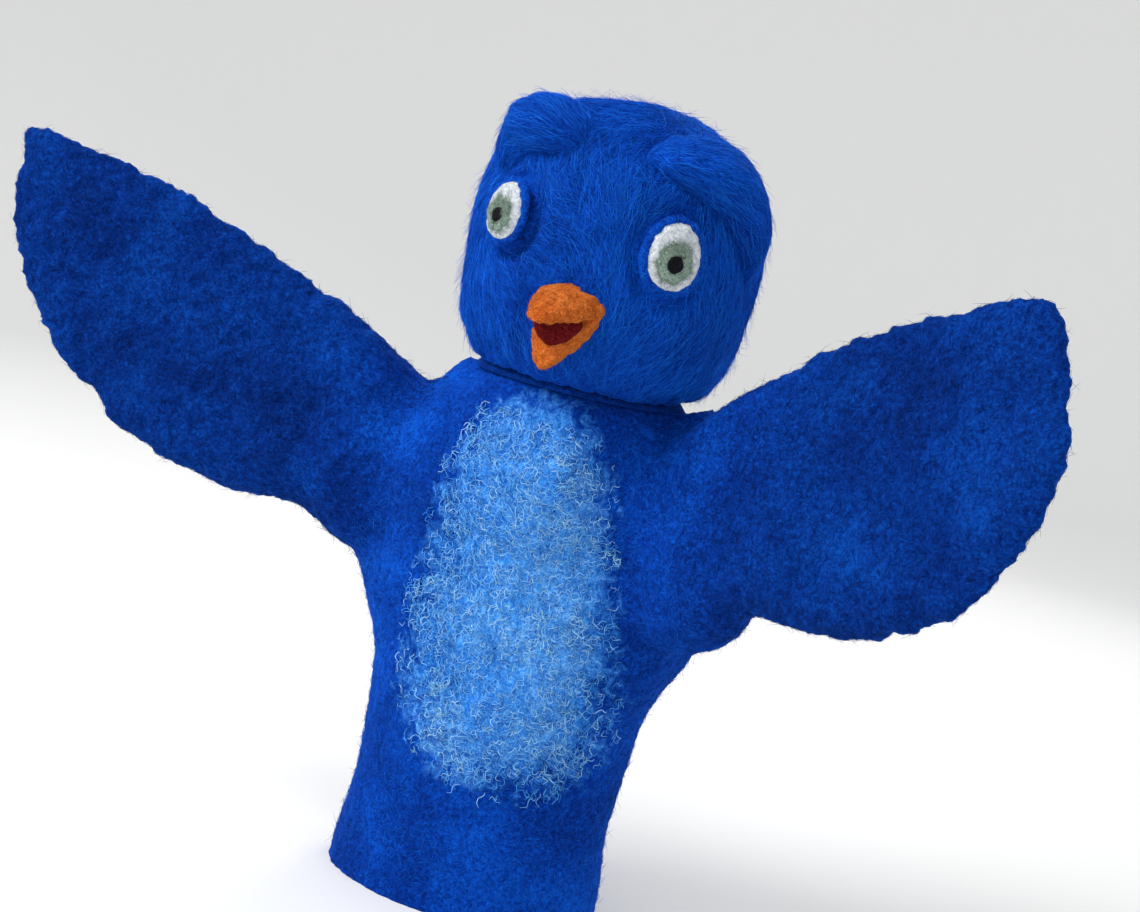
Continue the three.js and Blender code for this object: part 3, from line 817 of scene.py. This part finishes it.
# BROWS. A thick roll of combed wool over each eye: its upper side runs smoothly into the crown, its
# lower side overhangs, and its outer end hangs free at the side of the head.
BROW_PATH = {
    1: ((14, 35), (30, 34), (46, 31), (61, 24), (73, 12), (79, -1)),
    -1: ((-5, 32), (-18, 34), (-32, 36), (-44, 33), (-49, 22), (-46, 10)),
}
BROW_DOWN, BROW_BACK, BROW_THICK, BROW_LIP = 0.0080, 0.018, 0.0155, 0.0056
BROW_SINK = {1: 0.0050, -1: 0.0080}
for side, name in SIDES.items():
    spots = [head_spot(*turn_lift) for turn_lift in BROW_PATH[side]]
    spots = [2 * spots[0] - spots[1]] + spots + [2 * spots[-1] - spots[-2]]

    def on_path(part, spots=spots):
        place = min(part, 0.9999) * (len(spots) - 3)
        first, t = int(place), place % 1
        a, b, c, d = spots[first:first + 4]
        return (2 * b + (c - a) * t + (2 * a - 5 * b + 4 * c - d) * t ** 2
                + (3 * b - a - 3 * c + d) * t ** 3) / 2

    def brow_frame(part, side=side, on_path=on_path):
        spot = on_path(part)
        ahead = (on_path(min(1, part + 0.03)) - on_path(max(0, part - 0.03))).normalized()
        out = (spot - HEAD_MIDDLE).normalized()
        return spot, ahead, out, ahead.cross(out).normalized() * side

    form = bmesh.new()
    bmesh.ops.create_uvsphere(form, u_segments=40, v_segments=48, radius=1)
    for vert in form.verts:
        part = math.acos(max(-1, min(1, vert.co.z))) / math.pi
        spot, ahead, out, down = brow_frame(part)
        fuller = max(0.02, math.sin(part * math.pi)) ** -0.4
        low, high = vert.co.x * fuller, vert.co.y * fuller
        reach = low * (BROW_DOWN if low > 0 else BROW_BACK)
        tuck = 0.55 * (reach / HEAD_R) ** 2 * HEAD_R + (0.0045 * low * low if low < 0 else 0)
        thick = BROW_THICK * (0.62 + 0.38 * eased(part, 0.0, 0.4))
        sink = BROW_SINK[side] * (0.35 + 0.65 * eased(part, 0.45, 0.75))
        sink += 0.0030 * (1 - eased(part, 0.0, 0.22))
        lip = BROW_LIP * max(0, high) * (1 if low > 0 else 1 + low)
        vert.co = spot + down * (reach + lip) + out * (high * thick - tuck - sink)
    bmesh.ops.recalc_face_normals(form, faces=form.faces)
    brow = finished(f"{name}_brow_roll", form)
    stuffed(brow, 0.004, 0.0015, 2)
    refelted(brow, 0.0011)
    form = bmesh.new()
    form.from_mesh(brow.data)
    form.normal_update()
    moves = []
    for vert in form.verts:
        part = min((k / 24 for k in range(25)), key=lambda part: (on_path(part) - vert.co).length)
        spot, ahead, out, down = brow_frame(part)
        offset = vert.co - spot
        run = part * 0.08
        ridge = noise.noise(Vector((offset.dot(down) * 420, offset.dot(out) * 420, run * 45)))
        moves.append(vert.co + vert.normal * (ridge * 0.0010 + noise.noise(vert.co * 110) * 0.0008))
    for vert, goal in zip(form.verts, moves):
        vert.co = goal
    form.to_mesh(brow.data)
    form.free()
    brow.data.materials.clear()
    brow.data.materials.append(blue_felt)
    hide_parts(f"{name}_brow")
    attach(brow, "head")
    chance = random.Random(40 + side)
    brow_ground = BVHTree.FromObject(brow, bpy.context.evaluated_depsgraph_get())
    strands = []
    for root, out in spread(brow.data, 3600, 50 + side, lambda spot, normal: (
            (spot - HEAD_MIDDLE).length > HEAD_R - 0.001 and clear_of_face(spot))):
        part = min((k / 24 for k in range(25)), key=lambda part: (on_path(part) - root).length)
        way = brow_frame(part)[1]
        way = Matrix.Rotation(chance.gauss(0, 0.28), 3, out) @ (way - out * way.dot(out)).normalized()
        stray = chance.random() < 0.06
        rise = chance.uniform(0.0015, 0.003) if stray else chance.uniform(0.0002, 0.0009)
        strands.append(strand(brow_ground, root, way, chance, chance.uniform(0.006, 0.012), rise, 0.15, 3))
    piece = wool(f"{name}_brow_wool", strands, 0.00014, head_hair)
    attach(piece, "head")

# EYES. An egg of white felt needled on each side of the face inside a raised blue rim, with a soft
# grey-green iris low in it and a small black pupil.
GREY_GREEN = ((0.060, 0.110, 0.085), (0.185, 0.270, 0.215), (0.440, 0.530, 0.450))
WHITE = ((0.38, 0.43, 0.48), (0.68, 0.72, 0.76), (0.86, 0.88, 0.90))
BLACK = ((0.002, 0.002, 0.003), (0.006, 0.006, 0.008), (0.020, 0.021, 0.026))
white_felt = felt("white_felt", *WHITE, grain=1.6, hairy=0.35)
iris_felt = felt("grey_green_felt", *GREY_GREEN, grain=2.0, hairy=0.4)
black_felt = felt("black_felt", *BLACK, grain=2.0, hairy=0.3)
white_hair = hairs("white_hair", *WHITE)
iris_hair = hairs("grey_green_hair", *GREY_GREEN)
black_hair = hairs("black_hair", *BLACK)
IRIS_AT = Vector((-0.0002, 0, -0.0017))
IRIS_HALF = Vector((0.0061, 0.0013, 0.0067))
PUPIL_AT = Vector((-0.0002, 0, -0.0024))
PUPIL_HALF = Vector((0.0030, 0.0014, 0.0032))


def felt_button(name, half, place, roughness, egg=0.0):
    """A small domed oval of felt, wider towards the bottom by the egg share."""
    form = bmesh.new()
    bmesh.ops.create_uvsphere(form, u_segments=72, v_segments=48, radius=1)
    for vert in form.verts:
        fuller = 1 - egg * vert.co.z
        spot = Vector((vert.co.x * half.x * fuller, vert.co.y * half.y, vert.co.z * half.z))
        lump = 1 + roughness * noise.noise(spot * 420 + Vector((7, 0, half.x * 5000)))
        vert.co = place @ Vector((spot.x * lump, spot.y * lump, spot.z * lump))
    bmesh.ops.recalc_face_normals(form, faces=form.faces)
    return finished(name, form)


def buttoned(piece, body, node, finish):
    piece.data.materials.append(finish)
    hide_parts(node)
    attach(piece, body)


for side, name in SIDES.items():
    place = eyes[side]
    white = felt_button(f"{name}_eye_felt", EYE_HALF, place, 0.05, 0.05)
    buttoned(white, "head", f"{name}_eye_white", white_felt)

    def front_of_eye(at, sink, place=place):
        """A frame on the eye's dome at a place off its middle."""
        flat = (at.x / EYE_HALF.x) ** 2 + (at.z / EYE_HALF.z) ** 2
        return place @ Matrix.Translation((at.x, -EYE_HALF.y * math.sqrt(1 - flat) + sink, at.z))

    iris = felt_button(f"{name}_iris_felt", IRIS_HALF, front_of_eye(IRIS_AT, 0.0007), 0.10)
    buttoned(iris, "head", f"{name}_iris", iris_felt)
    pupil = felt_button(f"{name}_pupil_felt", PUPIL_HALF, front_of_eye(PUPIL_AT, 0.0001), 0.12)
    buttoned(pupil, "head", f"{name}_pupil", black_felt)
    form = bmesh.new()
    ring = bmesh.ops.create_circle(form, segments=20, radius=EYE_RIM)["verts"]
    upended = Matrix.Translation((1, 0, 0)) @ Matrix.Rotation(math.pi / 2, 4, "X")
    bmesh.ops.transform(form, matrix=upended, verts=ring)
    edges = list({edge for vert in ring for edge in vert.link_edges})
    bmesh.ops.spin(form, geom=ring + edges, cent=(0, 0, 0), axis=(0, 0, 1), angle=math.tau, steps=96,
                   use_merge=True)
    for vert in form.verts:
        around = math.atan2(vert.co.y, vert.co.x)
        out = math.hypot(vert.co.x, vert.co.y) - 1
        bold = 1 + 0.35 * noise.noise(Vector((math.cos(around), math.sin(around), side)) * 3)
        wide, tall = EYE_HALF.x + EYE_RIM * 0.45, EYE_HALF.z + EYE_RIM * 0.45
        low = math.sin(around)
        spot = Vector(((wide * (1 - 0.05 * low) + out * bold) * math.cos(around), -vert.co.z * 0.8 * bold,
                       (tall + out * bold) * low))
        droop = (spot.x ** 2 + spot.z ** 2) / (2 * HEAD_R)
        vert.co = place @ (spot + Vector((0, droop - 0.0009, 0)))
    bmesh.ops.remove_doubles(form, verts=form.verts, dist=1e-6)
    bmesh.ops.recalc_face_normals(form, faces=form.faces)
    rim = refelted(finished(f"{name}_eye_rim_felt", form), 0.0006)
    for vert in rim.data.vertices:
        vert.co += vert.normal * noise.noise(vert.co * 650) * 0.0005
    rim.data.materials.clear()
    buttoned(rim, "head", f"{name}_eye_rim", blue_felt)
    for what, base, count, length, finish, slot in (
        ("eye", white, 900, 0.0034, white_hair, "white_felt"),
        ("iris", iris, 900, 0.0030, iris_hair, "grey_green_felt"),
        ("pupil", pupil, 150, 0.0014, black_hair, "black_felt"),
        ("eye_rim", rim, 700, 0.0030, head_hair, "blue_felt"),
    ):
        chance = random.Random(len(what) * 10 + side)
        beneath = {"iris": white, "pupil": iris}.get(what, base)
        over = {"iris": 0.0005, "pupil": 0.0002}.get(what, 0)
        eye_ground = BVHTree.FromObject(beneath, bpy.context.evaluated_depsgraph_get())
        strands = []
        for root, out in spread(base.data, count * 2, len(what) + 60, lambda spot, normal: (
                (place.inverted() @ spot).y < -0.0006)):
            if what == "eye" and (place.inverted() @ root - IRIS_AT).xz.length < 0.0044:
                continue
            way = any_way(out, chance)
            long = length * chance.uniform(0.5, 1.1)
            rise = over + chance.uniform(0.0001, 0.0004)
            strands.append(strand(eye_ground, root, way, chance, long, rise, 0.6))
        piece = wool(f"{name}_{what}_hair", strands[:count], 0.00013, finish)
        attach(piece, "head")

# BEAK. Two needled halves of orange wool, hinged at the corners of the mouth and held wide open, with a
# lining of dark red felt behind them.
ORANGE = ((0.25, 0.036, 0.005), (0.45, 0.092, 0.013), (0.68, 0.215, 0.045))
RED = ((0.030, 0.001, 0.002), (0.085, 0.004, 0.006), (0.170, 0.012, 0.012))
orange_felt = felt("orange_felt", *ORANGE, grain=1.8, hairy=0.6)
orange_hair = hairs("orange_hair", *ORANGE)
red_felt = felt("red_felt", *RED, grain=1.6, hairy=0.4)
BEAK_HALF = 0.0122
BEAK_ROOT = 0.005
BEAK_PARTS = (  # name, which way it bulges, pitch, length, height, how far it narrows, how flat inside
    ("upper_beak", 1, 7, 0.0195, 0.0072, 0.36, 0.34),
    ("lower_beak", -1, 52, 0.0225, 0.0085, 0.42, 0.28),
)
seat = mouth @ Matrix.Rotation(math.radians(BEAK_TURN), 4, "Z") @ Matrix.Translation((0, BEAK_ROOT, 0))
for name, way, pitch, length, high, narrow, inside in BEAK_PARTS:
    form = bmesh.new()
    bmesh.ops.create_uvsphere(form, u_segments=48, v_segments=32, radius=1)
    bmesh.ops.rotate(form, verts=form.verts, matrix=Matrix.Rotation(math.pi / 2, 3, "X"))
    for vert in form.verts:
        ahead = max(0, -vert.co.y)
        side = vert.co.x * (1 - narrow * ahead ** 1.2) * BEAK_HALF
        flat = inside if vert.co.z * way < 0 else 1
        scoop = 0.0006 * (1 - vert.co.x ** 2) if flat < 1 else 0
        spot = Vector((side, vert.co.y * length, vert.co.z * high * flat + way * (0.0008 + scoop)))
        vert.co = seat @ Matrix.Rotation(math.radians(pitch), 4, "X") @ spot
    bmesh.ops.recalc_face_normals(form, faces=form.faces)
    beak = refelted(finished(f"{name}_felt", form), 0.0007)
    for vert in beak.data.vertices:
        vert.co += vert.normal * (noise.noise(vert.co * 330) * 0.0008 + noise.noise(vert.co * 900) * 0.0004)
    beak.data.materials.clear()
    buttoned(beak, "head", name, orange_felt)
    chance = random.Random(len(name) + way)
    beak_ground = BVHTree.FromObject(beak, bpy.context.evaluated_depsgraph_get())
    strands = [strand(beak_ground, root, any_way(out, chance), chance, chance.uniform(0.0012, 0.0030),
                      chance.uniform(0.0001, 0.0007), 0.5)
               for root, out in spread(beak.data, 1500, 70 + way, lambda spot, normal: (
                   (mouth.inverted() @ spot).y < 0.001))]
    piece = wool(f"{name}_hair", strands, 0.00011, orange_hair)
    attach(piece, "head")
form = bmesh.new()
bmesh.ops.create_uvsphere(form, u_segments=40, v_segments=24, radius=1)
for vert in form.verts:
    wide = 0.0082 * (1 + 0.35 * vert.co.z)
    spot = Vector((vert.co.x * wide, vert.co.y * 0.0062, vert.co.z * 0.0066 - 0.0062))
    vert.co = mouth @ (spot + Vector((0, 0, noise.noise(spot * 500) * 0.0006)))
bmesh.ops.recalc_face_normals(form, faces=form.faces)
buttoned(finished("mouth_lining_felt", form), "head", "mouth_lining", red_felt)

# BREAST LOCKS. Curls of pale wool felted on by their roots only, so they lie in S shapes over the oval.
pale_hair = hairs("pale_curl_hair", *WHITE_LOCKS)
LOCKS = (  # name, count, length, thickness, waves, size of a wave
    ("breast_locks", 4600, 0.0052, 0.00026, 1.1, 0.00075),
    ("breast_curls", 6200, 0.0038, 0.00020, 0.9, 0.00080),
)
for name, count, length, thick, waves, swing in LOCKS:
    chance = random.Random(count)
    strands = []

    def on_breast(point, normal, chance=chance):
        reach = breast_reach(point)
        patchy = 0.30 * noise.noise(point * 60) + 0.25 * noise.noise(point * 140)
        return chance.random() < 1.10 - eased(reach + patchy, 0.62, 1.10) and reach < 1.10

    for root, out in spread(skin.data, count * 9, count + 2, on_breast)[:count]:
        swirl = noise.noise(root * 40) * 2.2 + chance.gauss(0, 0.7)
        way = Matrix.Rotation(swirl, 3, out) @ Vector((0, 0, -1))
        way = (way - out * way.dot(out)).normalized()
        aside = out.cross(way)
        rise = chance.uniform(0.0004, 0.0016)
        long = length * chance.uniform(0.5, 1.15)
        phase = chance.random() * math.tau
        points = []
        for step in range(8):
            part = step / 7
            wave = math.sin(phase + part * waves * math.tau)
            spot = root + way * long * (part - 0.1) + aside * wave * swing
            near, face, _, _ = ground.find_nearest(spot)
            roll = 0.6 + 0.4 * math.cos(phase + part * waves * math.tau)
            lift = 0.0001 + rise * math.sin(part * math.pi) * roll
            points.append(near + face * lift)
        if all(clear_of_neck(point) and felt_zone(point) == "bag" for point in points):
            strands.append(points)
    locks = wool(name, strands, thick, pale_hair, 0.5)
    if name == "breast_locks":
        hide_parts("breast_patch")
    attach(locks, "torso")

# NECK AND STUFFING. A band of felt, painted dark for the shade in the crease under the head, lets the head
# roll on the bag; above it the finger goes up into a felt tube inside the stuffing. Little of this shows,
# only the tube from below.
# painted shade: the neck band takes the shaded copy of the blue, as dark as the crease under the head
neck_shaded_felt = felt("neck_wool_painted_shade", *PAINTED_SHADE_BLUE)
UNDYED = ((0.42, 0.36, 0.27), (0.62, 0.55, 0.43), (0.78, 0.72, 0.60))
undyed_felt = felt("undyed_wool_felt", *UNDYED)


def turned_ring(name, profile, node, body, finish):
    """A felt ring spun about the upright axis of the neck from its profile."""
    form = bmesh.new()
    corners = [form.verts.new((radius, 0, height)) for radius, height in profile]
    edges = [form.edges.new(pair) for pair in zip(corners, corners[1:] + corners[:1])]
    bmesh.ops.spin(form, geom=corners + edges, cent=NECK, axis=(0, 0, 1), angle=math.tau, steps=96,
                   use_merge=True)
    bmesh.ops.remove_doubles(form, verts=form.verts, dist=1e-6)
    bmesh.ops.recalc_face_normals(form, faces=form.faces)
    buttoned(finished(name, form), body, node, finish)


def neck_arc(radius, start, end, steps):
    turns = [math.radians(start + (end - start) * step / steps) for step in range(steps + 1)]
    return [(radius * math.sin(turn), NECK.z + radius * math.cos(turn)) for turn in turns]


SLEEVE = (0.0490, 0.0505)
SLEEVE_SPAN = (20, 50)
sleeve_profile = neck_arc(SLEEVE[1], *SLEEVE_SPAN, 16) + neck_arc(SLEEVE[0], *reversed(SLEEVE_SPAN), 16)
turned_ring("neck_sleeve_felt", sleeve_profile, "neck_sleeve", "neck", neck_shaded_felt)

TUBE_OUT, TUBE_IN = 0.012, 0.010
tube_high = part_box("finger_tube")[1].z
tube_dome = tube_high - TUBE_OUT
turns = [math.radians(turn) for turn in range(0, 90, 9)]
tube_out = [(TUBE_OUT * math.cos(turn), tube_dome + TUBE_OUT * math.sin(turn)) for turn in turns]
tube_in = [(TUBE_IN * math.cos(turn), tube_dome + TUBE_IN * math.sin(turn)) for turn in reversed(turns)]
seat_out, seat_in = (NECK.z + math.sqrt(SEAT ** 2 - radius ** 2) for radius in (TUBE_OUT, TUBE_IN))
tube_profile = [(TUBE_OUT, seat_out)] + tube_out + [(0.0001, tube_high)]
tube_profile += [(0.0001, tube_dome + TUBE_IN)] + tube_in + [(TUBE_IN, seat_in)]
turned_ring("finger_tube_felt", tube_profile, "finger_tube", "finger", undyed_felt)

stuffing = finished("head_stuffing", head_form(-HEAD_SKIN - HEAD_TUCK - 0.0006, 72))
refelted(stuffing, 0.0025)
for vert in stuffing.data.vertices:
    vert.co -= vert.normal * abs(noise.noise(vert.co * 150)) * 0.0012
cut(stuffing, "DIFFERENCE", seat_ball)
form = bmesh.new()
bmesh.ops.create_cone(form, cap_ends=True, segments=64, radius1=TUBE_OUT + 0.0004, radius2=TUBE_OUT + 0.0004,
                      depth=tube_high + 0.0004 - NECK.z,
                      matrix=Matrix.Translation((0, 0, (tube_high + 0.0004 + NECK.z) / 2)))
bore = finished("bore", form)
cut(stuffing, "DIFFERENCE", bore)
stuffing.data.materials.clear()
buttoned(stuffing, "head", "head_core", undyed_felt)
for unused in (skin, seat_ball, head_inside, bore):
    bpy.data.objects.remove(unused)
